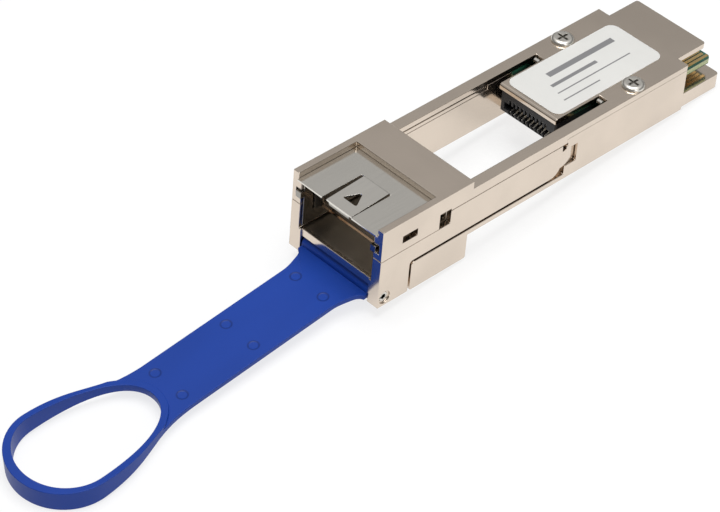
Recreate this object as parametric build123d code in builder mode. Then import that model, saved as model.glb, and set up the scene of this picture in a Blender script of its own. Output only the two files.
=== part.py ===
"""Port-converter module: a plug-in metal body that turns one wide module slot into one narrow module port.

The frame: +X is the width, +Y runs from the port's mouth to the plug end, +Z is up through the cover.
The origin is the middle of the port's floor, in the plane of its mouth. All lengths are millimetres.
"""

import os
from math import cos, radians, sin

from build123d import *

# Body envelope
half_width = 18.35 / 2
body_top = 8.5
wall_end = 64.1
cover_end = 70.5
cover_tail_half = 7.05
tail_end = 72.6
tail_top = 2.84
tail_bottom = 0.25
tail_inset = 0.2
floor_start = 43.0
floor_top = 1.4
cavity_half = 8.05

# Cover seams, measured up from the port's floor
seam_front = 4.4
seam_rail = 6.68
seam_rear = 7.5
inner_seam = (7.4, 7.52)
seam_groove = 0.12

# Nose, the raised front of the cover round the port's cage
nose_top = 9.79
nose_end = 18.0
bridge_start = 11.3
port_half = 7.46
port_roof = 8.5
rail_inner = 7.3

# Sheet metal of the port's cage
sheet = 0.28
plate_half = 8.05
plate_front = -0.3
plate_end = 17.4
slot_half = 3.0
slot_end = 7.6
tongue_half = 2.55
tongue_droop = 3.3
tongue_gap = 0.03
cage_face = 7.12
side_sheet = 0.25

# Side windows, as (y, z) spans. The rear one gives the slider arm's step room to travel.
slider_travel = 2.1
stop_gap = 0.15
arm_step = 13.75
front_window = ((4.1, 7.05), (5.75, 7.0))
rear_window = ((arm_step - slider_travel - stop_gap, arm_step), (seam_front, 7.0))
tab_reach = 8.2

# Release slider: two legs, a crossbar under the port and two side arms
leg_depth = 6.0
leg_inner = 7.0
leg_bottom = -4.17
crossbar_front = 0.3
crossbar_bottom = -1.35
slide_gap = 0.05
arm_inner = 8.3
recess_face = 8.2
arm_bottom = 1.3
arm_end = 36.9
recess_end = 37.75
strip_top = 0.9
strip_corner = 0.6
tip_start = 36.9
tip_end = 40.0
tip_low = 2.5
tip_high = 5.5

# Front block of the housing, which holds the return springs
block_front = 6.4
block_end = 17.73
block_bottom = -4.27
spring_x = 8.0
spring_z = -2.4
guide_radius = 0.42
rod_radius = 0.36
pocket_radius = 0.86
pocket_start = 8.3
pocket_end = 17.0
rod_head_radius = 0.75
rod_head = (15.2, 15.8)
wire_radius = 0.1
coil_radius = 0.6
coil_turns = 8

# Strap, in its own tilted plane through the pin
pin_y = 1.36
pin_z = -2.77
strap_angle = 6.75
pin_radius = 0.75
pin_bore = 0.42
hub_radius = 1.2
hub_bore = 0.8
hub_half = 6.85
strap_top = -0.1
strap_thickness = 0.8
strap_half = 5.12
ring_top = 1.72
ring_bottom = -1.55

# Board, port connector and fixings
board_bottom = 4.3
board_thickness = 1.0
board_front = 44.9
board_end = 72.0
board_half = 7.9
board_tail_half = 7.4
connector_half = 5.6
connector_front = 39.0
connector_end = 46.8
connector_span = (3.4, 7.35)
contact_pitch = 0.8
contact_count = 10
pad_pitch = 0.75
pad_count = 19
pad_thickness = 0.05
screw_x = 7.25
screw_y = 53.8
screw_radius = 0.7
screw_head_radius = 1.8
screw_head_height = 0.62
tongue_front = 38.6
label_tongue_half = 5.75
label_slot_half = 7.2
label_slot_end = 48.07

os.makedirs("parts", exist_ok=True)


def save(piece, name):
    """Labels a finished piece and writes its STEP file."""
    piece.part.label = name
    export_step(piece.part, f"parts/{name}.step")


def block(x, y, z, mode=Mode.ADD):
    """A rectangular block between three (low, high) pairs, in the active part."""
    with Locations(((x[0] + x[1]) / 2, (y[0] + y[1]) / 2, (z[0] + z[1]) / 2)):
        Box(x[1] - x[0], y[1] - y[0], z[1] - z[0], mode=mode)


def pair(x, y, z, mode=Mode.ADD):
    """The same block on the right and, mirrored, on the left."""
    block(x, y, z, mode)
    block((-x[1], -x[0]), y, z, mode)


def centred(half):
    """The (low, high) pair of a width centred on the module's middle plane."""
    return (-half, half)


# Lower housing: front block, slim window walls, rear tray and tail plate
with BuildPart() as lower_housing:
    block(centred(half_width), (block_front, block_end), (block_bottom, 0))
    pair((port_half, recess_face), (block_front, nose_end), (0, seam_front))
    pair((port_half, recess_face), (arm_step, nose_end), (seam_front, seam_rail))
    pair((rail_inner, recess_face), (nose_end, recess_end), (0, seam_rail))
    pair((rail_inner, half_width), (block_front, recess_end), (0, strip_top))
    pair((rail_inner, half_width), (recess_end, floor_start), (0, seam_rail))
    block(centred(half_width), (floor_start, wall_end), (0, seam_rear))
    pair((rail_inner, half_width), (recess_end, floor_start), (seam_rail, seam_rear))
    block(centred(half_width - tail_inset), (wall_end, tail_end), (tail_bottom, tail_top))
    block(centred(cavity_half), (floor_start, wall_end), (floor_top, seam_rear), Mode.SUBTRACT)
    block(centred(port_half), (block_front, nose_end), (0, seam_rail), Mode.SUBTRACT)
    for side in (-1, 1):
        with Locations((side * screw_x, screw_y, (floor_top + seam_rear) / 2)):
            Cylinder(1.6, seam_rear - floor_top)
        block(
            sorted((side * cavity_half, side * (board_half - 0.9))),
            (58.0, wall_end),
            (floor_top, board_bottom),
        )
        with Locations((side * screw_x, screw_y, seam_rear - 2.4)):
            Cylinder(screw_radius, 4.8, mode=Mode.SUBTRACT)
        x_span = sorted((side * recess_face, side * (half_width + 1)))
        block(x_span, (recess_end - 1, tip_end + 0.2), (tip_low - 0.1, tip_high + 0.1), Mode.SUBTRACT)
        block(x_span, (tip_start + 0.2, recess_end + 0.25), (6.1, seam_rail), Mode.SUBTRACT)
        with BuildSketch(Plane.XZ.offset(-block_front)):
            with Locations((side * spring_x, spring_z)):
                Circle(guide_radius)
        extrude(amount=-(pocket_start - block_front), mode=Mode.SUBTRACT)
        with BuildSketch(Plane.XZ.offset(-pocket_start)):
            with Locations((side * spring_x, spring_z)):
                Circle(pocket_radius)
        extrude(amount=-(block_end - pocket_start), mode=Mode.SUBTRACT)
    strip_edges = lower_housing.edges().filter_by(Axis.X)
    strip_edges = strip_edges.filter_by_position(Axis.Z, strip_top - 0.01, strip_top + 0.01)
    strip_edges = strip_edges.filter_by_position(Axis.Y, block_front - 0.01, block_front + 0.01)
    fillet(strip_edges, radius=strip_corner)
    block_edges = lower_housing.edges().filter_by(Axis.X).group_by(Axis.Z)[0]
    fillet(block_edges, radius=0.35)
    tail_corners = lower_housing.edges().filter_by(Axis.Z).group_by(Axis.Y)[-1]
    fillet(tail_corners, radius=0.6)
save(lower_housing, "lower_housing")


# Upper cover: raised nose, two rails beside the open window, label tongue, rear plate
with BuildPart() as upper_cover:
    pair((port_half, half_width), (0, nose_end), (seam_rail, nose_top))
    pair((port_half, half_width), (0, rear_window[0][0]), (seam_front, seam_rail))
    block(centred(half_width), (bridge_start, nose_end), (port_roof + sheet, nose_top))
    pair((rail_inner, half_width), (nose_end, recess_end), (seam_rail, body_top))
    pair((rail_inner - 0.01, rail_inner + seam_groove), (nose_end, recess_end), inner_seam, Mode.SUBTRACT)
    pair((rail_inner, half_width), (recess_end, wall_end), (seam_rear, body_top))
    block(centred(half_width), (label_slot_end, wall_end), (seam_rear, body_top))
    block(centred(label_tongue_half), (tongue_front, label_slot_end), (seam_rear, body_top))
    block(centred(cover_tail_half), (wall_end, cover_end), (seam_rear, body_top))
    block(
        centred(plate_half),
        (plate_front, bridge_start),
        (port_roof, nose_top + 1),
        Mode.SUBTRACT,
    )
    block(
        centred(plate_half),
        (bridge_start, plate_end),
        (port_roof, port_roof + sheet),
        Mode.SUBTRACT,
    )
    for y_span, z_span in (front_window, rear_window):
        pair((port_half - 1, half_width + 1), y_span, z_span, Mode.SUBTRACT)
    pair((7.95, 8.5), (-1, 1.6), (5.5, 7.0), Mode.SUBTRACT)
    with Locations(*[(side * screw_x, screw_y, body_top) for side in (-1, 1)]):
        Cylinder(screw_radius + 0.15, 4, mode=Mode.SUBTRACT)
    lip = upper_cover.edges().filter_by(Axis.X)
    lip = lip.filter_by_position(Axis.Y, tongue_front - 0.01, tongue_front + 0.01)
    chamfer(lip.sort_by(Axis.Z)[-1], length=0.3)
    tail_corners = upper_cover.edges().filter_by(Axis.Z).group_by(Axis.Y)[-1]
    fillet(tail_corners, radius=0.5)
save(upper_cover, "upper_cover")


# Cage top plate, open along the latch tongue
with BuildPart() as cage_plate:
    with BuildSketch(Plane.XY.offset(port_roof)):
        with Locations((0, (plate_front + plate_end) / 2)):
            Rectangle(2 * plate_half - 0.1, plate_end - plate_front)
        with Locations((0, (plate_front + slot_end) / 2)):
            Rectangle(2 * slot_half, slot_end - plate_front, mode=Mode.SUBTRACT)
    extrude(amount=sheet)
save(cage_plate, "cage_plate")


# Latch tongue: a drooping spring strip with a triangular catch hole and a bent lip
tongue_plane = Plane(
    origin=(0, slot_end - tongue_gap, port_roof + sheet / 2),
    x_dir=(1, 0, 0),
    z_dir=(0, -sin(radians(tongue_droop)), cos(radians(tongue_droop))),
)
tongue_length = slot_end - 0.25
with BuildPart() as latch_tongue:
    with BuildSketch(tongue_plane.offset(-sheet / 2)):
        with Locations((0, -tongue_length / 2)):
            Rectangle(2 * tongue_half, tongue_length)
        with BuildLine():
            Polyline((-1.45, 2.25 - slot_end), (1.45, 2.25 - slot_end), (0, 5.0 - slot_end), close=True)
        make_face(mode=Mode.SUBTRACT)
    extrude(amount=sheet)
    with BuildSketch(tongue_plane.offset(-sheet / 2)):
        with Locations((0, -tongue_length + sheet / 2)):
            Rectangle(2 * tongue_half - 1.0, sheet)
    extrude(amount=-0.5)
    catch_corners = latch_tongue.edges().filter_by(lambda e: abs(e.length - sheet) < 0.001)
    catch_corners = catch_corners.filter_by(lambda e: abs(e.center().X) < 1.5)
    fillet(catch_corners, radius=0.25)
save(latch_tongue, "latch_tongue")


# Cage side sheets, their grounding springs and the tabs that lock them in the side windows
finger = ((2.2, 8.2), (2.6, 5.6))
for name, side in (("left", -1), ("right", 1)):
    with BuildPart() as cage_side:
        inner, outer = cage_face, cage_face + side_sheet
        block(sorted((side * inner, side * outer)), (0.4, plate_end), (0.4, port_roof - 0.03))
        block(
            sorted((side * (inner - 1), side * (outer + 1))),
            (finger[0][0], finger[0][1]),
            (finger[1][0], finger[1][1]),
            Mode.SUBTRACT,
        )
        block(sorted((side * inner, side * outer)), (-0.35, 0.4), (5.7, 6.8))
        block(sorted((side * inner, side * 8.1)), (-0.35, -0.1), (5.7, 6.8))
        block(sorted((side * 7.97, side * 8.1)), (-0.35, 0.9), (5.7, 6.8))
    save(cage_side, f"cage_side_{name}")

    with BuildPart() as cage_spring:
        with BuildSketch(Plane.XY.offset(finger[1][0] + 0.15)):
            with BuildLine():
                root_y = finger[0][1] - 0.05
                Spline(
                    (side * cage_face, root_y),
                    (side * (cage_face - 0.35), 6.4),
                    (side * (cage_face - 0.55), 4.4),
                    (side * (cage_face - 0.1), finger[0][0] + 0.2),
                )
                Line(
                    (side * (cage_face - 0.1), finger[0][0] + 0.2),
                    (side * (cage_face + 0.08), finger[0][0] + 0.2),
                )
                Spline(
                    (side * (cage_face + 0.08), finger[0][0] + 0.2),
                    (side * (cage_face - 0.35), 4.45),
                    (side * (cage_face - 0.15), 6.45),
                    (side * (cage_face + 0.2), root_y),
                )
                Line((side * (cage_face + 0.2), root_y), (side * cage_face, root_y))
            make_face()
        extrude(amount=finger[1][1] - finger[1][0] - 0.3)
    save(cage_spring, f"cage_spring_{name}")

    for place, (y_span, z_span) in (("front", front_window), ("rear", rear_window)):
        with BuildPart() as cage_tab:
            with BuildSketch(Plane.XZ.offset(-y_span[0] - 0.45)):
                top = z_span[1] - 0.35
                with BuildLine():
                    Polyline(
                        (side * (cage_face + side_sheet), top),
                        (side * (cage_face + side_sheet), top - 0.3),
                        (side * (tab_reach - 0.2), top - 0.85),
                        (side * tab_reach, top - 0.65),
                        close=True,
                    )
                make_face()
            extrude(amount=-(y_span[1] - y_span[0] - 0.9))
        save(cage_tab, f"cage_tab_{place}_{name}")


# Release slider: side plates with arms and release tips, thick legs and the crossbar
with BuildPart() as slider_frame:
    with BuildSketch(Plane.YZ.offset(arm_inner)):
        with BuildLine():
            Polyline(
                (0, leg_bottom),
                (0, seam_front - slide_gap),
                (arm_step, seam_front - slide_gap),
                (arm_step, seam_rail - slide_gap),
                (arm_end, seam_rail - slide_gap),
                (arm_end, arm_bottom),
                (leg_depth, arm_bottom),
                (leg_depth, leg_bottom),
                close=True,
            )
        make_face()
    extrude(amount=half_width - arm_inner)
    lower_end = slider_frame.edges().filter_by(Axis.X)
    lower_end = lower_end.filter_by_position(Axis.Y, arm_end - 0.01, arm_end + 0.01)
    fillet(lower_end.sort_by(Axis.Z)[0], radius=2.0)
    inner_corner = slider_frame.edges().filter_by(Axis.X)
    inner_corner = inner_corner.filter_by_position(Axis.Y, leg_depth - 0.01, leg_depth + 0.01)
    fillet(inner_corner.sort_by(Axis.Z)[-1], radius=0.6)
    block((port_half, arm_inner), (0, leg_depth), (0, seam_front - slide_gap))
    block((leg_inner, arm_inner), (0, leg_depth), (leg_bottom, 0))
    with BuildSketch(Plane.XY.offset(tip_low)):
        with BuildLine():
            Polyline(
                (arm_inner, tip_start - 0.3),
                (half_width, tip_start - 0.3),
                (half_width, tip_start),
                (8.65, tip_end),
                (arm_inner, tip_end),
                close=True,
            )
        make_face()
    extrude(amount=tip_high - tip_low)
    mirror(about=Plane.YZ)
    block(centred(leg_inner), (crossbar_front, leg_depth), (crossbar_bottom, 0))
    with BuildSketch(Plane.YZ.offset(-half_width)):
        with Locations((pin_y, pin_z)):
            Circle(pin_radius)
    extrude(amount=2 * half_width, mode=Mode.SUBTRACT)
    for side in (-1, 1):
        with BuildSketch(Plane.YZ.offset(side * half_width)):
            with Locations((pin_y, pin_z)):
                Circle(pin_radius + 0.3)
        extrude(amount=-side * 0.35, mode=Mode.SUBTRACT)
        with BuildSketch(Plane.XZ.offset(-leg_depth)):
            with Locations((side * spring_x, spring_z)):
                Circle(rod_radius)
        extrude(amount=1.6, mode=Mode.SUBTRACT)
save(slider_frame, "slider_frame")


# Slotted spring pin through both legs
with BuildPart() as strap_pin:
    with BuildSketch(Plane.YZ.offset(-half_width + 0.3)):
        with Locations((pin_y, pin_z)):
            Circle(pin_radius)
            Circle(pin_bore, mode=Mode.SUBTRACT)
            with Locations((-pin_radius / 2 - 0.1, 0)):
                Rectangle(pin_radius, 0.26, mode=Mode.SUBTRACT)
    extrude(amount=2 * half_width - 0.6)
save(strap_pin, "strap_pin")


# Pull strap: hub on the pin, flat strap and finger ring, all in one tilted plane
strap_plane = Plane(
    origin=(0, pin_y, pin_z),
    x_dir=(1, 0, 0),
    z_dir=(0, -sin(radians(strap_angle)), cos(radians(strap_angle))),
)
strap_side_plane = Plane(
    origin=(0, pin_y, pin_z),
    x_dir=(0, cos(radians(strap_angle)), sin(radians(strap_angle))),
    z_dir=(1, 0, 0),
)
ring_middle = -51.1
ring_full = -56.0
ring_half = (8.55, 8.15)
ring_neck = (
    (strap_half, -32.1),
    (strap_half, -40.8),
    (ring_half[0], -41.85),
    (ring_half[0], ring_middle),
)
hole_half = (7.6, 6.8)
hole_neck = ((0, -35.5), (6.6, -35.5), (hole_half[0], -47.8), (hole_half[0], ring_middle))
rim_neck = ((0, -34.35), (7.35, -34.35), (8.75, -47.5), (8.75, ring_middle))
rim_span = (-41.0, -34.0)
rim_start = -34.05
rim_top = 0.3
mark_depth = 0.08
mark_radius = 0.85

with BuildPart() as pull_strap:
    with BuildSketch(strap_plane.offset(-2)):
        with BuildLine():
            Line((0, 0), (hub_half, 0))
            Line((hub_half, 0), (hub_half, -1.9))
            Spline(
                (hub_half, -1.9),
                (5.65, -3.6),
                (strap_half, -6.4),
                tangents=((-1, -0.25), (0, -1)),
            )
            Line((strap_half, -6.4), ring_neck[0])
            Bezier(*ring_neck)
            EllipticalCenterArc((0, ring_middle), *ring_half, -90, arc_size=90)
            mirror(about=Plane.YZ)
        make_face()
        with BuildLine():
            Bezier(*hole_neck)
            EllipticalCenterArc((0, ring_middle), *hole_half, -90, arc_size=90)
            mirror(about=Plane.YZ)
        make_face(mode=Mode.SUBTRACT)
    extrude(amount=4)
    low = strap_top - strap_thickness
    with BuildSketch(strap_side_plane.offset(-12)):
        with BuildLine():
            Polyline((0, low), (-36.5, low))
            Spline((-36.5, low), (-46.25, -1.22), (ring_full, ring_bottom), tangents=((-1, 0), (-1, 0)))
            Polyline((ring_full, ring_bottom), (-62, ring_bottom), (-62, ring_top), (ring_full, ring_top))
            Spline((ring_full, ring_top), (-45.0, 1.01), (rim_start, rim_top), tangents=((1, 0), (1, 0)))
            Polyline((rim_start, rim_top), (rim_start, strap_top), (0, strap_top), (0, low))
        make_face()
    extrude(amount=24, mode=Mode.INTERSECT)
    with BuildSketch(strap_plane.offset(strap_top)):
        with Locations((0, (rim_span[0] + rim_span[1]) / 2)):
            Rectangle(24, rim_span[1] - rim_span[0])
        with BuildLine():
            Bezier(*rim_neck)
            Polyline(rim_neck[-1], (0, rim_neck[-1][1]))
            mirror(about=Plane.YZ)
        make_face(mode=Mode.SUBTRACT)
    extrude(amount=ring_top + 1, mode=Mode.SUBTRACT)
    with BuildSketch(strap_side_plane.offset(-hub_half)):
        Circle(hub_radius)
    extrude(amount=2 * hub_half)
    with BuildSketch(strap_side_plane.offset(-hub_half)):
        Circle(hub_bore)
    extrude(amount=2 * hub_half, mode=Mode.SUBTRACT)
    with Locations(strap_plane.offset(strap_top - mark_depth / 2)):
        with Locations(*[(x, y) for x in (-2.85, 2.85) for y in (-6.0, -19.3, -32.5)]):
            Cone(mark_radius - 0.25, mark_radius, mark_depth, mode=Mode.SUBTRACT)
save(pull_strap, "pull_strap")


# Return springs on their rods, inside pockets closed by plugs
for name, side in (("left", -1), ("right", 1)):
    with BuildPart() as spring_rod:
        with BuildSketch(Plane.XZ.offset(-(leg_depth - 1.6))):
            with Locations((side * spring_x, spring_z)):
                Circle(rod_radius)
        extrude(amount=-(rod_head[1] - leg_depth + 1.6))
        with BuildSketch(Plane.XZ.offset(-rod_head[0])):
            with Locations((side * spring_x, spring_z)):
                Circle(rod_head_radius)
        extrude(amount=-(rod_head[1] - rod_head[0]))
    save(spring_rod, f"spring_rod_{name}")

    spring_length = rod_head[0] - pocket_start - 2 * wire_radius - 0.1
    spring_start = pocket_start + wire_radius + 0.05
    with BuildPart() as return_spring:
        with BuildLine():
            coil = Helix(
                pitch=spring_length / coil_turns,
                height=spring_length,
                radius=coil_radius,
                center=(side * spring_x, spring_start, spring_z),
                direction=(0, 1, 0),
            )
        with BuildSketch(Plane(origin=coil @ 0, z_dir=coil % 0)):
            Circle(wire_radius)
        sweep(is_frenet=True)
    save(return_spring, f"return_spring_{name}")

    with BuildPart() as spring_plug:
        with BuildSketch(Plane.XZ.offset(-pocket_end)):
            with Locations((side * spring_x, spring_z)):
                Circle(pocket_radius)
                RegularPolygon(0.4, 6, mode=Mode.SUBTRACT)
        extrude(amount=-(block_end - pocket_end - 0.1))
    save(spring_plug, f"spring_plug_{name}")


# Main board, with notches round the cover screws and chamfered plug corners
board_top = board_bottom + board_thickness
with BuildPart() as main_board:
    with BuildSketch(Plane.XY.offset(board_bottom)):
        with Locations((0, (board_front + wall_end) / 2)):
            Rectangle(2 * board_half, wall_end - board_front)
        with Locations((0, (wall_end + board_end) / 2)):
            Rectangle(2 * board_tail_half, board_end - wall_end)
        with Locations(*[(side * screw_x, screw_y) for side in (-1, 1)]):
            Circle(2.0, mode=Mode.SUBTRACT)
    extrude(amount=board_thickness)
    plug_corners = main_board.edges().filter_by(Axis.Z).group_by(Axis.Y)[-1]
    chamfer(plug_corners, length=0.5)
save(main_board, "main_board")


# Gold plug contacts on both faces of the board, in two staggered lengths
for name, face_z in (("top", board_top), ("bottom", board_bottom - pad_thickness)):
    with BuildPart() as edge_contacts:
        for index in range(pad_count):
            x = (index - (pad_count - 1) / 2) * pad_pitch
            reach = 0.45 if index % 3 else 0.15
            block((x - 0.26, x + 0.26), (66.3, board_end - reach), (face_z, face_z + pad_thickness))
    save(edge_contacts, f"edge_contacts_{name}")


# Port connector: moulded housing with a card slot and one groove for each contact
slot_middle = board_bottom + board_thickness / 2
groove_x = [(index - (contact_count - 1) / 2) * contact_pitch for index in range(contact_count)]
with BuildPart() as connector_housing:
    block(centred(connector_half), (connector_front, connector_end), connector_span)
    front_edges = connector_housing.edges().group_by(Axis.Y)[0]
    chamfer(front_edges, length=0.25)
    block(centred(4.75), (connector_front, 43.6), (slot_middle - 0.6, slot_middle + 0.6), Mode.SUBTRACT)
    block(centred(connector_half + 1), (board_front, connector_end), (board_bottom, board_top), Mode.SUBTRACT)
    for x in groove_x:
        block(
            (x - 0.2, x + 0.2),
            (connector_front, 42.9),
            (slot_middle - 1.15, slot_middle + 1.4),
            Mode.SUBTRACT,
        )
save(connector_housing, "connector_housing")


# Contact springs: an upper and a lower row that nearly meet in the card slot
for name, turn, lead in (("upper", 1, 1.35), ("lower", -1, 1.1)):
    with BuildPart() as connector_contacts:
        for x in groove_x:
            with BuildSketch(Plane.YZ.offset(x - 0.14)):
                with BuildLine():
                    Polyline(
                        (39.25, slot_middle + turn * lead),
                        (39.25, slot_middle + turn * (lead - 0.25)),
                        (40.6, slot_middle + turn * 0.3),
                        (41.5, slot_middle + turn * 0.68),
                        (42.9, slot_middle + turn * 0.75),
                        (42.9, slot_middle + turn * 0.95),
                        (41.4, slot_middle + turn * 0.9),
                        (40.6, slot_middle + turn * 0.55),
                        close=True,
                    )
                make_face()
            extrude(amount=0.28)
    save(connector_contacts, f"connector_contacts_{name}")


# Cover screws: low pan heads with a cross recess
for name, side in (("left", -1), ("right", 1)):
    with BuildPart() as cover_screw:
        with Locations((side * screw_x, screw_y, body_top + screw_head_height / 2)):
            Cylinder(screw_head_radius, screw_head_height)
        top_rim = cover_screw.edges().sort_by(Axis.Z)[-1]
        fillet(top_rim, radius=screw_head_height - 0.05)
        with Locations((side * screw_x, screw_y, body_top - 2.0)):
            Cylinder(screw_radius, 4.0)
        with Locations((side * screw_x, screw_y, body_top + screw_head_height - 0.15)):
            Box(2.0, 0.42, 0.5, mode=Mode.SUBTRACT)
            Box(0.42, 2.0, 0.5, mode=Mode.SUBTRACT)
    save(cover_screw, f"cover_screw_{name}")


# Blank label on the cover's tongue
with BuildPart() as label:
    with BuildSketch(Plane.XY.offset(body_top)):
        with Locations((0, 51.1)):
            RectangleRounded(10.8, 23.4, 1.5)
    extrude(amount=0.1)
save(label, "label")


# Parts on the board, as (name, centre x, centre y, width, length, height)
board_parts = [("chip_control", -2.2, 57.0, 4.0, 4.0, 0.9), ("chip_memory", 3.0, 56.0, 3.0, 2.6, 0.8)]
board_parts += [(f"capacitor_{index + 1}", -4.5 + 3 * index, 61.0, 1.0, 1.6, 0.8) for index in range(4)]
board_parts += [(f"resistor_{index + 1}", -3.6 + 2.4 * index, 50.0, 0.5, 1.0, 0.35) for index in range(4)]
for name, x, y, width, length, height in board_parts:
    with BuildPart() as board_piece:
        with BuildSketch(Plane.XY.offset(board_top)):
            with Locations((x, y)):
                Rectangle(width, length)
        extrude(amount=height)
    save(board_piece, name)
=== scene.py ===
"""Looks of the port converter module: finishes for its CAD nodes, two made clips and a studio."""

from math import cos, pi, radians, sin

import bmesh
import bpy
from mathutils import Matrix, Vector


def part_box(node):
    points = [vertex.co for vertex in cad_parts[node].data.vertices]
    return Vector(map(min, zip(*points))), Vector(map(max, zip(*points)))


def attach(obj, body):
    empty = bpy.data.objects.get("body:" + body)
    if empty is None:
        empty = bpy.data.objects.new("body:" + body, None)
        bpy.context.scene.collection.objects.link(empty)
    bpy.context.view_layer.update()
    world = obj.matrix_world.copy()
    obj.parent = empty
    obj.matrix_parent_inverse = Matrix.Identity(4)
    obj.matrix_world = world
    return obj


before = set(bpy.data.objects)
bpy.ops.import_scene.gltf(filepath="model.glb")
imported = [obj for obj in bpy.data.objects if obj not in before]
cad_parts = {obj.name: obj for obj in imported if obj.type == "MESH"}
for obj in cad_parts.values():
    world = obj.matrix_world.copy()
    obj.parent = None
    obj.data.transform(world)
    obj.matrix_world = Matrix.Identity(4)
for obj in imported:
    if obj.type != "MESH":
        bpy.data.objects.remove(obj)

bl_info = {
    "name": "Port converter module",
    "version": (1, 0, 0),
    "blender": (4, 5, 0),
    "location": "3D View > Sidebar > Converter",
    "description": "Finishes and studio for a plug-in port converter module",
    "category": "Object",
}

MM = 0.001

# CAD nodes that share a finish
MILLED = ("lower_housing", "upper_cover", "slider_frame")
SHEET = ("cage_plate", "latch_tongue", "cage_side_left", "cage_side_right")
SPRUNG = ("cage_spring_left", "cage_spring_right")
TABS = ("cage_tab_front_left", "cage_tab_front_right", "cage_tab_rear_left", "cage_tab_rear_right")
SCREWS = ("cover_screw_left", "cover_screw_right")
RODS = ("spring_rod_left", "spring_rod_right", "spring_plug_left", "spring_plug_right")
STEEL_PINS = ("strap_pin", *RODS)
COILS = ("return_spring_left", "return_spring_right")
EDGE_CONTACTS = ("edge_contacts_top", "edge_contacts_bottom")
CONNECTOR_CONTACTS = ("connector_contacts_upper", "connector_contacts_lower")
RESISTORS = ("resistor_1", "resistor_2", "resistor_3", "resistor_4")
PACKAGES = ("chip_control", "chip_memory", *RESISTORS)
CERAMICS = ("capacitor_1", "capacitor_2", "capacitor_3", "capacitor_4")

# Lengths from here on are in millimetres.
# Edge roundings that are too small to be worth a setting
SCREW_EDGE = 0.02
LABEL_EDGE = 0.02
MOULDED_EDGE = 0.03
CERAMIC_EDGE = 0.04
# Points closer than this are joined, and faces flatter than the first angle, before an edge
# sharper than the second angle is rounded
JOIN_REACH = 0.002
FLAT_ANGLE = radians(1)
SHARP_ANGLE = radians(35)

# The painted shade down the port, as half width, mouth, depth and height, on plate and on sheet
PORT_SHADE_ON_PLATE = (7.4, 0.2, 18.0, 8.5)
PORT_SHADE_ON_SHEET = (8.4, -1.6, 18.0, 8.0)
PORT_FLOOR = -0.1
PORT_SIDE_FADE = 0.1
PORT_DEPTH_FADE = 1.2

# A screw's cross recess, darkened with painted shade, lies within this radius of its axis and below
# this depth of its crown
RECESS_RADIUS = 1.0
RECESS_DEPTH = 0.16
RECESS_FADE = 0.1
RECESS_DEPTH_FADE = 0.08

# The strap's pin, its tilt at rest, and the ejector marks' columns, rows and ring of painted shade
STRAP_PIN_Y = 1.36
STRAP_TILT = radians(6.75)
MARK_SIDE = 2.85
MARK_ROWS = (-6.0, -19.3, -32.5)
MARK_SHADE_RING = (0.6, 1.0)
MARK_FADE = 0.15

# The board's tracks, its bare cut edge, and the capacitors' tinned ends
TRACK_PITCH = 1.5
BOARD_SKIN = 0.08
BOARD_SKIN_FADE = 0.06
TINNED_END = 0.25
TINNED_FADE = 0.07
TIN = (0.55, 0.55, 0.55)

# The label's rules, as middle, width, and the gaps before and after each
LABEL_RULES = (
    (-2.4, 1.1, 6.0, 3.0),
    (-0.2, 0.7, 4.5, 9.0),
    (1.6, 0.3, 4.0, 3.5),
    (3.3, 0.3, 3.5, 12.0),
)
RULE_FADE = 0.06
RULE_GREY = (0.09, 0.09, 0.10)

# The curled slot clips: where their curl is centred, its two radii, and its steps
CLIP_CENTRE = (6.47, 47.55, 7.85)
CLIP_OUTER = 0.45
CLIP_INNER = 0.28
CLIP_STEPS = 14

# The tail plate's underside, how far the floor lies under it and the ring, and how far it reaches
TAIL_BOTTOM = 0.25
FLOOR_GAP = 0.1
FLOOR_REACH = 1500
FLOOR_GREYS = ((0.18, 0.18, 0.18), (0.2, 0.2, 0.2))

# The tent's tone, by the sine of the height above the horizon
SKY = (
    (0.0, (0.35, 0.35, 0.35)),
    (0.05, (0.09, 0.09, 0.09)),
    (0.45, (0.1, 0.1, 0.1)),
    (0.6, (0.5, 0.5, 0.5)),
    (0.78, (0.5, 0.5, 0.51)),
    (1.0, (1.0, 1.0, 1.0)),
)


class Flow:
    """One socket of a material's nodes. Arithmetic on it adds Math nodes, node() any other kind."""

    def __init__(self, tree, socket=None):
        self.tree = tree
        self.socket = socket

    def node(self, kind, settings=None, inputs=None, out=0):
        """Adds a node with its settings, fills or links its sockets, and returns one output."""
        made = self.tree.nodes.new(kind)
        for name, value in (settings or {}).items():
            if name == "stops":
                for index, (place, colour) in enumerate(value):
                    ramp = made.color_ramp.elements
                    stop = ramp[index] if index < len(ramp) else ramp.new(place)
                    stop.position = place
                    stop.color = (*colour, 1)
            else:
                setattr(made, name, value)
        for key, value in (inputs or {}).items():
            if isinstance(value, Flow):
                self.tree.links.new(value.socket, made.inputs[key])
            else:
                made.inputs[key].default_value = value
        return Flow(self.tree, made.outputs[out])

    def math(self, operation, *values):
        """A Math node on this and up to two more values."""
        inputs = dict(enumerate((self, *values)))
        return self.node("ShaderNodeMath", {"operation": operation}, inputs)

    def __add__(self, other):
        return self.math("ADD", other)

    __radd__ = __add__

    def __sub__(self, other):
        return self.math("SUBTRACT", other)

    def __rsub__(self, other):
        return self.math("MULTIPLY", -1) + other

    def __mul__(self, other):
        return self.math("MULTIPLY", other)

    __rmul__ = __mul__

    def ramp(self, low, high):
        """0 below low, 1 above high, smooth between."""
        return self.node(
            "ShaderNodeMapRange",
            {"interpolation_type": "SMOOTHSTEP"},
            {"Value": self, "From Min": low, "From Max": high},
        )

    def blend(self, first, second):
        """The first colour where this is 0, the second where it is 1."""
        settings = {"data_type": "RGBA"}
        pair = [c if isinstance(c, Flow) else (*c, 1) for c in (first, second)]
        return self.node("ShaderNodeMix", settings, {0: self, 6: pair[0], 7: pair[1]}, out=2)


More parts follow.
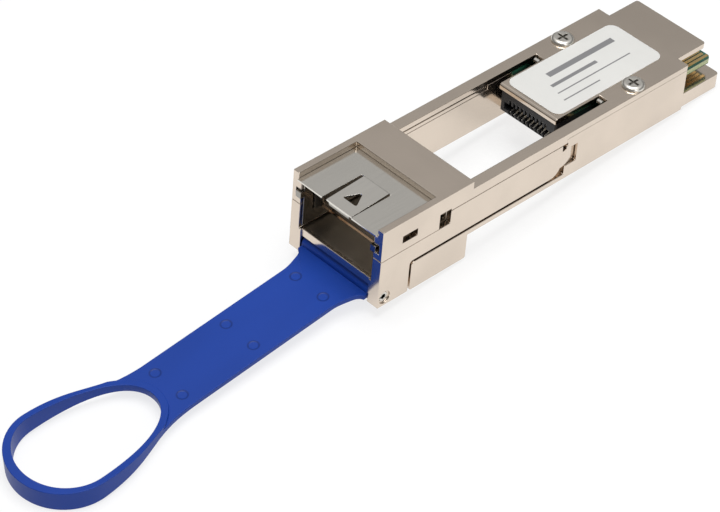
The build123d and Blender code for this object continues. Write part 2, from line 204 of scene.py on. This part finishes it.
class Finish:
    """A material with one Principled shader, fed from Object coordinates."""

    def __init__(self, name, metallic=0.0, **constants):
        self.material = bpy.data.materials.new(name)
        self.material.use_nodes = True
        tree = self.material.node_tree
        self.tree = tree
        self.flow = Flow(tree)
        self.shader = tree.nodes["Principled BSDF"]
        self.shader.inputs["Metallic"].default_value = metallic
        for key, value in constants.items():
            self.shader.inputs[key.replace("_", " ")].default_value = value
        self.place = self.flow.node("ShaderNodeTexCoord", out="Object")

    def noise(self, size, detail=3.0, stretch=None):
        """A noise with features of about size millimetres, stretched where asked."""
        place = self.place
        if stretch:
            place = self.flow.node("ShaderNodeMapping", inputs={"Vector": place, "Scale": stretch})
        inputs = {"Vector": place, "Scale": 1 / (size * MM), "Detail": detail}
        return self.flow.node("ShaderNodeTexNoise", inputs=inputs)

    def axis(self, index):
        """One coordinate, in millimetres."""
        split = self.flow.node("ShaderNodeSeparateXYZ", inputs={0: self.place}, out=index)
        return split * (1 / MM)

    def band(self, value, low, high, soft):
        """1 where a value lies between low and high, fading over soft at both ends."""
        return value.ramp(low, low + soft) * (1 - value.ramp(high - soft, high))

    def within(self, half_width, mouth, depth, height):
        """1 inside a box along the port, from its mouth to its depth, and 0 outside it."""
        across = self.band(self.axis(0), -half_width, half_width, PORT_SIDE_FADE)
        inward = self.band(self.axis(1), mouth, depth, PORT_DEPTH_FADE)
        return across * inward * self.band(self.axis(2), PORT_FLOOR, height, PORT_SIDE_FADE)

    def feed(self, colour=None, rough=None, height=None, depth=0.01, strength=0.3):
        """Feeds the shader a colour, a roughness, and a height of depth millimetres in all."""
        if colour is not None:
            self.tree.links.new(colour.socket, self.shader.inputs["Base Color"])
        if rough is not None:
            self.tree.links.new(rough.socket, self.shader.inputs["Roughness"])
        if height is not None:
            inputs = {"Height": height, "Distance": depth * MM, "Strength": strength}
            bump = self.flow.node("ShaderNodeBump", inputs=inputs)
            self.tree.links.new(bump.socket, self.shader.inputs["Normal"])
        return self.material


def distance(across, along):
    """The distance whose two parts are given."""
    return (across * across + along * along).math("SQRT")


def shade(colour, factor):
    """A colour made lighter or darker, kept under 1."""
    return tuple(min(1.0, part * factor) for part in colour[:3])


def plated_nickel(finish):
    """Satin nickel plate: faint clouds, fine grain, wiping marks, and rougher in the port, where
    painted shade darkens it.
    """
    made = Finish("plated_nickel", metallic=1.0)
    cloud = made.noise(9.0)
    grain = made.noise(0.22, 5.0)
    hairs = made.noise(0.35, 2.0, stretch=(1.0, 0.06, 1.0))
    plate = cloud.ramp(0.3, 0.7).blend(shade(finish.nickel, 0.96), shade(finish.nickel, 1.03))
    # Painted shade down the port: the plate's colour is darkened there and its roughness raised
    port = made.within(*PORT_SHADE_ON_PLATE)
    colour = port.blend(plate, shade(finish.nickel, 0.42))
    rough = finish.nickel_rough + 0.05 * cloud + 0.05 * grain + 0.04 * hairs + 0.2 * port
    return made.feed(colour, rough, grain + 0.5 * hairs, 0.002, 0.15)


def rolled_steel(finish):
    """Bare rolled sheet: cooler than the plate, with lines along the module, and painted shade in
    the port.
    """
    made = Finish("rolled_steel", metallic=1.0)
    lines = made.noise(0.3, 4.0, stretch=(1.0, 0.03, 1.0))
    cloud = made.noise(5.0)
    sheet = lines.ramp(0.25, 0.75).blend(shade(finish.steel, 0.97), shade(finish.steel, 1.02))
    # Painted shade down the port, darkening the sheet's colour there
    colour = made.within(*PORT_SHADE_ON_SHEET).blend(sheet, shade(finish.steel, 0.45))
    rough = 0.14 + 0.03 * lines + 0.06 * cloud
    return made.feed(colour, rough, lines, 0.001, 0.08)


def turned_steel(finish):
    """Machined pins and rods, with fine rings round their length."""
    made = Finish("turned_steel", metallic=1.0)
    rings = made.noise(0.12, 2.0, stretch=(1.0, 1.0, 0.2))
    colour = rings.ramp(0.2, 0.8).blend(shade(finish.steel, 0.82), shade(finish.steel, 0.98))
    return made.feed(colour, 0.18 + 0.14 * rings, rings, 0.002, 0.2)


def spring_wire(finish):
    """Drawn wire, darker and slightly streaked."""
    made = Finish("spring_wire", metallic=1.0)
    streaks = made.noise(0.15, 3.0)
    colour = streaks.blend(shade(finish.steel, 0.6), shade(finish.steel, 0.78))
    return made.feed(colour, 0.25 + 0.15 * streaks, streaks, 0.002, 0.2)


def bright_screw(finish):
    """Bright plated screw heads with tiny driver marks and painted shade in the cross recess."""
    made = Finish("bright_screw", metallic=1.0)
    marks = made.noise(0.3, 6.0)
    head = marks.ramp(0.35, 0.75).blend(shade(finish.steel, 1.1), shade(finish.steel, 1.0))
    low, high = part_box("cover_screw_right")
    across = made.axis(0).math("ABSOLUTE") - (low.x + high.x) / 2 / MM
    along = made.axis(1) - (low.y + high.y) / 2 / MM
    middle = 1 - distance(across, along).ramp(RECESS_RADIUS, RECESS_RADIUS + RECESS_FADE)
    floor = high.z / MM - RECESS_DEPTH
    recess = middle * (1 - made.axis(2).ramp(floor, floor + RECESS_DEPTH_FADE))
    # Painted shade in the cross recess
    colour = recess.blend(head, shade(finish.steel, 0.35))
    return made.feed(colour, 0.26 + 0.08 * marks, marks, 0.002, 0.1)


def mark_rim_shade(made):
    """1 on a thin ring of painted shade round each ejector mark, in two columns down the strap."""
    across = made.axis(0).math("ABSOLUTE") - MARK_SIDE
    along = made.axis(1)
    rows = [along - (STRAP_PIN_Y + row * cos(STRAP_TILT)) for row in MARK_ROWS]
    return sum(made.band(distance(across, row), *MARK_SHADE_RING, MARK_FADE) for row in rows)


def strap_plastic(finish):
    """Moulded soft plastic: even colour, broad flow clouds, a fine satin grain and painted shade
    rings round the ejector marks.
    """
    made = Finish("strap_plastic", Specular_IOR_Level=0.22)
    flow = made.noise(11.0, 2.0, stretch=(1.0, 0.35, 1.0))
    grain = made.noise(0.16, 3.0)
    orange_peel = made.noise(1.1, 2.0)
    body = flow.ramp(0.3, 0.7).blend(shade(finish.strap, 0.93), shade(finish.strap, 1.06))
    # Painted shade on a thin ring round each ejector mark
    colour = mark_rim_shade(made).blend(body, shade(finish.strap, 0.62))
    rough = 0.34 + 0.08 * grain + 0.06 * flow
    return made.feed(colour, rough, grain + 1.5 * orange_peel, 0.008, 0.2)


def connector_plastic(finish):
    """Black glass-filled moulding with a dry, speckled surface."""
    made = Finish("connector_plastic")
    fibres = made.noise(0.18, 5.0, stretch=(0.4, 1.0, 1.0))
    colour = fibres.ramp(0.45, 0.8).blend(finish.moulding, shade(finish.moulding, 2.2))
    return made.feed(colour, 0.36 + 0.2 * fibres, fibres, 0.006, 0.3)


def gold_plate(finish):
    """Thin gold over nickel, a little worn along the contact's length."""
    made = Finish("gold_plate", metallic=1.0)
    wiped = made.noise(0.25, 4.0, stretch=(1.0, 0.1, 1.0))
    colour = wiped.ramp(0.3, 0.85).blend(finish.gold, shade(finish.gold, 0.8))
    return made.feed(colour, 0.16 + 0.16 * wiped, wiped, 0.002, 0.2)


def tin_plate(finish):
    """Dull tin over the connector's spring contacts, slightly clouded."""
    made = Finish("tin_plate", metallic=1.0)
    cloud = made.noise(0.3, 4.0)
    colour = cloud.ramp(0.3, 0.8).blend(shade(finish.steel, 1.1), shade(finish.steel, 0.85))
    return made.feed(colour, 0.24 + 0.16 * cloud, cloud, 0.002, 0.2)


def solder_mask(finish):
    """Green mask over laminate, with buried tracks and a bare, yellowish cut edge."""
    made = Finish("solder_mask", Coat_Weight=0.4, Coat_Roughness=0.12)
    level = made.axis(2)
    low, high = (corner.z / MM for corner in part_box("main_board"))
    tracks = made.flow.node(
        "ShaderNodeTexWave",
        {"wave_type": "BANDS", "bands_direction": "X"},
        {
            "Vector": made.place,
            "Scale": 1 / (TRACK_PITCH * MM) / 2,
            "Distortion": 1.2,
            "Detail": 1.0,
        },
    )
    weave = made.noise(0.5, 4.0)
    track_mask = tracks.ramp(0.72, 0.8)
    mask_green = track_mask.blend(finish.mask, shade(finish.mask, 1.9))
    cut_edge = made.band(level, low + BOARD_SKIN, high - BOARD_SKIN, BOARD_SKIN_FADE)
    colour = (cut_edge * 0.85).blend(mask_green, finish.laminate)
    rough = 0.3 + 0.14 * weave
    return made.feed(colour, rough, track_mask + 0.2 * weave, 0.01, 0.3)


def chip_package(finish):
    """Dark moulded packages with a matt face."""
    made = Finish("chip_package")
    grain = made.noise(0.1, 4.0)
    colour = grain.blend(shade(finish.moulding, 1.1), shade(finish.moulding, 2.6))
    return made.feed(colour, 0.5 + 0.2 * grain, grain, 0.005, 0.3)


def ceramic_body(finish):
    """Tan ceramic with tinned ends. One span serves every capacitor, as they stand in a row."""
    made = Finish("ceramic_body")
    low, high = (corner.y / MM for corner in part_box("capacitor_1"))
    middle = made.band(made.axis(1), low + TINNED_END, high - TINNED_END, TINNED_FADE)
    speckle = made.noise(0.2, 4.0)
    body = speckle.blend(shade(finish.ceramic, 0.85), shade(finish.ceramic, 1.1))
    colour = middle.blend(TIN, body)
    return made.feed(colour, 0.32 + 0.2 * speckle, speckle, 0.004, 0.25)


def label_film(finish):
    """Matt printed film with a faint paper-like tooth and four plain rules."""
    made = Finish("label_film", Specular_IOR_Level=0.35)
    tooth = made.noise(0.12, 5.0)
    cloud = made.noise(6.0)
    film = cloud.ramp(0.3, 0.7).blend(shade(finish.label, 0.975), shade(finish.label, 1.01))
    across, along = made.axis(0), made.axis(1)
    low, high = (corner.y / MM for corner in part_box("label"))
    rules = sum(
        made.band(across, middle - width / 2, middle + width / 2, RULE_FADE)
        * made.band(along, low + near, high - far, RULE_FADE)
        for middle, width, near, far in LABEL_RULES
    )
    colour = (rules * 0.8).blend(film, RULE_GREY)
    return made.feed(colour, 0.45 + 0.12 * tooth, tooth, 0.004, 0.25)


def dress(names, material, rounding=0.0, segments=2):
    """Gives CAD nodes a material, and edges rounded by a width in metres where one is given."""
    for name in names:
        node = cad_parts[name]
        if not node.material_slots:
            node.data.materials.append(material)
        for place in node.material_slots:
            place.link = "OBJECT"
            place.material = material
        if rounding > 0:
            weld = node.modifiers.new("join_faces", "WELD")
            weld.merge_threshold = JOIN_REACH * MM
            flat = node.modifiers.new("one_face_each", "DECIMATE")
            flat.decimate_type = "DISSOLVE"
            flat.angle_limit = FLAT_ANGLE
            edge = node.modifiers.new("round_edges", "BEVEL")
            edge.width = rounding
            edge.segments = segments
            edge.limit_method = "ANGLE"
            edge.angle_limit = SHARP_ANGLE
            # Left on, this would cut every edge of a node down to suit its shortest one
            edge.use_clamp_overlap = False
            even = node.modifiers.new("even_faces", "WEIGHTED_NORMAL")
            even.keep_sharp = False
            even.weight = 100


def add_piece(name, form, material, body):
    """Turns a bmesh into a piece of the object, riding on a CAD body."""
    bmesh.ops.remove_doubles(form, verts=form.verts, dist=0.001 * MM)
    bmesh.ops.recalc_face_normals(form, faces=form.faces)
    mesh = bpy.data.meshes.new(name)
    form.to_mesh(mesh)
    form.free()
    mesh.materials.append(material)
    piece = bpy.data.objects.new(name, mesh)
    bpy.context.scene.collection.objects.link(piece)
    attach(piece, body)


def length(name, about, millimetres):
    """A length setting."""
    return bpy.props.FloatProperty(
        name=name, description=about, default=millimetres * MM, unit="LENGTH"
    )


def angle(name, about, degrees):
    """An angle setting."""
    return bpy.props.FloatProperty(
        name=name, description=about, default=radians(degrees), subtype="ANGLE"
    )


def power(name, about, watts):
    """A light's power setting."""
    return bpy.props.FloatProperty(name=name, description=about, default=watts, unit="POWER")


def tint(name, about, colour):
    """A colour setting."""
    return bpy.props.FloatVectorProperty(
        name=name, description=about, default=colour, subtype="COLOR", size=3
    )


class ConverterSizes(bpy.types.PropertyGroup):
    """Sizes that a user may change."""

    metal_edge: length("Metal edge", "Rounding of milled edges", 0.10)
    sheet_edge: length("Sheet edge", "Rounding of sheet metal edges", 0.015)
    plastic_edge: length("Plastic edge", "Rounding of the strap's edges", 0.1)


class ConverterFinish(bpy.types.PropertyGroup):
    """Colours and roughness that a user may change."""

    nickel: tint("Nickel", "Plated metal", (0.70, 0.605, 0.51))
    nickel_rough: bpy.props.FloatProperty(
        name="Nickel roughness",
        description="Lowest roughness of the plate",
        default=0.09,
        subtype="FACTOR",
    )
    steel: tint("Steel", "Cage sheet, pins, springs, screws and tin", (0.74, 0.71, 0.65))
    strap: tint("Strap", "Moulded pull strap", (0.006, 0.042, 0.285))
    moulding: tint("Moulding", "Connector and chips", (0.010, 0.010, 0.012))
    gold: tint("Gold", "The board's edge contacts", (0.83, 0.60, 0.27))
    mask: tint("Mask", "Board's solder mask", (0.006, 0.060, 0.040))
    laminate: tint("Laminate", "Board's cut edge", (0.52, 0.56, 0.28))
    ceramic: tint("Ceramic", "Capacitor bodies", (0.36, 0.25, 0.16))
    label: tint("Label", "Label film", (0.63, 0.625, 0.60))


class ConverterStudio(bpy.types.PropertyGroup):
    """The studio's camera and lights."""

    azimuth: angle("Azimuth", "Camera direction round the module", 43.02)
    elevation: angle("Elevation", "Camera height above the module", 40.5)
    roll: angle("Roll", "Camera turn about its own axis", 4.878)
    distance: length("Distance", "Camera distance", 430.87)
    aim: bpy.props.FloatVectorProperty(
        name="Aim",
        description="Camera offset right and up",
        default=(3.659 * MM, -0.292 * MM),
        size=2,
    )
    lens: bpy.props.FloatProperty(
        name="Lens", description="Focal length in millimetres", default=151.72
    )
    floor_glow: bpy.props.FloatProperty(
        name="Floor glow", description="The floor's own light", default=0.76
    )
    key_power: power("Key", "Softbox overhead", 2.4)
    fill_power: power("Fill", "Low softbox", 0.4)


class CONVERTER_OT_metalwork(bpy.types.Operator):
    """Finishes the housing, the cover and the release slider"""

    bl_idname = "converter.metalwork"
    bl_label = "Metalwork"

    def execute(self, context):
        scene = context.scene
        dress(MILLED, plated_nickel(scene.converter_finish), scene.converter_sizes.metal_edge)
        return {"FINISHED"}


class CONVERTER_OT_cage(bpy.types.Operator):
    """Finishes the port's sheet metal cage"""

    bl_idname = "converter.cage"
    bl_label = "Cage"

    def execute(self, context):
        scene = context.scene
        material = rolled_steel(scene.converter_finish)
        dress(SHEET, material, scene.converter_sizes.sheet_edge)
        dress(SPRUNG + TABS, material)
        return {"FINISHED"}


class CONVERTER_OT_fixings(bpy.types.Operator):
    """Finishes the screws, the pin and the return springs"""

    bl_idname = "converter.fixings"
    bl_label = "Fixings"

    def execute(self, context):
        scene = context.scene
        finish = scene.converter_finish
        dress(SCREWS, bright_screw(finish), SCREW_EDGE * MM)
        dress(STEEL_PINS, turned_steel(finish), scene.converter_sizes.sheet_edge)
        dress(COILS, spring_wire(finish))
        return {"FINISHED"}


class CONVERTER_OT_strap(bpy.types.Operator):
    """Finishes the moulded pull strap"""

    bl_idname = "converter.strap"
    bl_label = "Pull strap"

    def execute(self, context):
        scene = context.scene
        material = strap_plastic(scene.converter_finish)
        dress(("pull_strap",), material, scene.converter_sizes.plastic_edge, segments=3)
        return {"FINISHED"}


class CONVERTER_OT_board(bpy.types.Operator):
    """Finishes the board, the card connector and the parts on them"""

    bl_idname = "converter.board"
    bl_label = "Board and connector"

    def execute(self, context):
        finish = context.scene.converter_finish
        dress(("main_board",), solder_mask(finish))
        dress(("connector_housing",), connector_plastic(finish), MOULDED_EDGE * MM)
        dress(EDGE_CONTACTS, gold_plate(finish))
        dress(CONNECTOR_CONTACTS, tin_plate(finish))
        dress(PACKAGES, chip_package(finish), MOULDED_EDGE * MM)
        dress(CERAMICS, ceramic_body(finish), CERAMIC_EDGE * MM)
        return {"FINISHED"}


class CONVERTER_OT_label(bpy.types.Operator):
    """Finishes the label and its plain rules"""

    bl_idname = "converter.label"
    bl_label = "Label"

    def execute(self, context):
        dress(("label",), label_film(context.scene.converter_finish), LABEL_EDGE * MM)
        return {"FINISHED"}


class CONVERTER_OT_clips(bpy.types.Operator):
    """Adds the small curled clips at the ends of the slots beside the cover's tongue"""

    bl_idname = "converter.clips"
    bl_label = "Slot clips"

    strip: length("Strip", "Clip width", 0.9)

    def execute(self, context):
        finish = context.scene.converter_finish
        material = bpy.data.materials.get("rolled_steel") or rolled_steel(finish)
        outer, inner = CLIP_OUTER * MM, CLIP_INNER * MM
        across, along, up = (part * MM for part in CLIP_CENTRE)
        for name, side in (("left", -1), ("right", 1)):
            centre = Vector((side * across, along, up))
            start = centre + Vector((0, (outer + inner) / 2, 0))
            form = bmesh.new()
            bmesh.ops.create_grid(form, x_segments=1, y_segments=1, size=0.5)
            bmesh.ops.scale(form, vec=(self.strip, outer - inner, 1), verts=form.verts)
            bmesh.ops.translate(form, vec=start, verts=form.verts)
            bmesh.ops.spin(
                form,
                geom=[*form.faces, *form.edges, *form.verts],
                cent=centre,
                axis=(1, 0, 0),
                angle=pi,
                steps=CLIP_STEPS,
                use_merge=False,
                use_duplicate=False,
            )
            add_piece(f"slot_clip_{name}", form, material, "housing")
        return {"FINISHED"}


class CONVERTER_OT_studio(bpy.types.Operator):
    """Adds the pale floor, the soft lights and the camera"""

    bl_idname = "converter.studio"
    bl_label = "Studio"

    def execute(self, context):
        scene = context.scene
        studio = scene.converter_studio
        self.add_floor(studio)
        self.add_sky(scene)
        self.add_lights(studio)
        self.add_camera(scene, studio)
        scene.view_settings.view_transform = "Standard"
        return {"FINISHED"}

    def add_floor(self, studio):
        """A pale table just under the strap's ring and the tail plate."""
        ring_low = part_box("pull_strap")[0]
        tail_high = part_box("lower_housing")[1]
        slope = (TAIL_BOTTOM * MM - ring_low.z) / (tail_high.y - ring_low.y)
        form = bmesh.new()
        bmesh.ops.create_grid(form, x_segments=1, y_segments=1, size=FLOOR_REACH * MM)
        mesh = bpy.data.meshes.new("floor")
        for vert in form.verts:
            vert.co.z = ring_low.z - FLOOR_GAP * MM + slope * (vert.co.y - ring_low.y)
        form.to_mesh(mesh)
        form.free()
        table = Finish("pale_table", Emission_Strength=studio.floor_glow)
        table.shader.inputs["Emission Color"].default_value = (1, 1, 1, 1)
        speck = table.noise(2.0)
        mesh.materials.append(table.feed(speck.blend(*FLOOR_GREYS), 0.7 + 0.1 * speck))
        floor = bpy.data.objects.new("floor", mesh)
        bpy.context.scene.collection.objects.link(floor)

    def add_sky(self, scene):
        """A studio tent: darker round the horizon, grey part of the way up, bright overhead."""
        scene.world = bpy.data.worlds.new("tent")
        scene.world.use_nodes = True
        tree = scene.world.node_tree
        flow = Flow(tree)
        place = flow.node("ShaderNodeTexCoord", out="Generated")
        height = flow.node("ShaderNodeSeparateXYZ", inputs={0: place}, out=2)
        tone = flow.node("ShaderNodeValToRGB", {"stops": SKY}, {0: height})
        tree.links.new(tone.socket, tree.nodes["Background"].inputs["Color"])

    def add_lights(self, studio):
        """Two softboxes, both aimed at the frame's origin, each with its power, place and size."""
        boxes = (
            ("key_softbox", studio.key_power, (0.0, 0.0, 0.55), 0.35),
            ("fill_softbox", studio.fill_power, (0.45, -0.05, 0.22), 0.22),
        )
        for name, power, place, size in boxes:
            lamp = bpy.data.lights.new(name, "AREA")
            lamp.energy = power
            lamp.size = size
            lamp_object = bpy.data.objects.new(name, lamp)
            lamp_object.location = place
            lamp_object.rotation_euler = Vector(place).to_track_quat("Z", "Y").to_euler()
            bpy.context.scene.collection.objects.link(lamp_object)

    def add_camera(self, scene, studio):
        """The camera, placed by its direction, distance, roll and offset."""
        turn, rise, roll = studio.azimuth, studio.elevation, studio.roll
        back = Vector((sin(turn) * cos(rise), -cos(turn) * cos(rise), sin(rise)))
        level = Vector((cos(turn), sin(turn), 0))
        upright = back.cross(level)
        right = cos(roll) * level + sin(roll) * upright
        above = cos(roll) * upright - sin(roll) * level
        lens = bpy.data.cameras.new("camera")
        lens.lens = studio.lens
        lens.sensor_width = 36
        lens.clip_start = 0.01
        camera = bpy.data.objects.new("camera", lens)
        spot = studio.aim[0] * right + studio.aim[1] * above + studio.distance * back
        turned = Matrix((right, above, back)).transposed().to_4x4()
        camera.matrix_world = Matrix.Translation(spot) @ turned
        scene.collection.objects.link(camera)
        scene.camera = camera


OPERATORS = (
    CONVERTER_OT_metalwork,
    CONVERTER_OT_cage,
    CONVERTER_OT_fixings,
    CONVERTER_OT_strap,
    CONVERTER_OT_board,
    CONVERTER_OT_label,
    CONVERTER_OT_clips,
    CONVERTER_OT_studio,
)


class CONVERTER_PT_panel(bpy.types.Panel):
    """Lists the converter's sizes, finishes and pieces"""

    bl_idname = "CONVERTER_PT_panel"
    bl_label = "Port converter"
    bl_space_type = "VIEW_3D"
    bl_region_type = "UI"
    bl_category = "Converter"

    def draw(self, context):
        for group in GROUPS:
            settings = getattr(context.scene, group)
            for name in settings.__annotations__:
                self.layout.prop(settings, name)
        for operator in OPERATORS:
            self.layout.operator(operator.bl_idname)


GROUPS = {
    "converter_sizes": ConverterSizes,
    "converter_finish": ConverterFinish,
    "converter_studio": ConverterStudio,
}


def register():
    """Registers the classes and hangs the settings on the scene."""
    for made in (*GROUPS.values(), *OPERATORS, CONVERTER_PT_panel):
        bpy.utils.register_class(made)
    for name, group in GROUPS.items():
        setattr(bpy.types.Scene, name, bpy.props.PointerProperty(type=group))


def unregister():
    """Removes the settings and the classes."""
    for name in GROUPS:
        delattr(bpy.types.Scene, name)
    for made in (CONVERTER_PT_panel, *reversed(OPERATORS), *GROUPS.values()):
        bpy.utils.unregister_class(made)


def main():
    """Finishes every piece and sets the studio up."""
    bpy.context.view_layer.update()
    register()
    for operator in OPERATORS:
        group, name = operator.bl_idname.split(".")
        getattr(getattr(bpy.ops, group), name)()


if __name__ == "__main__":
    main()
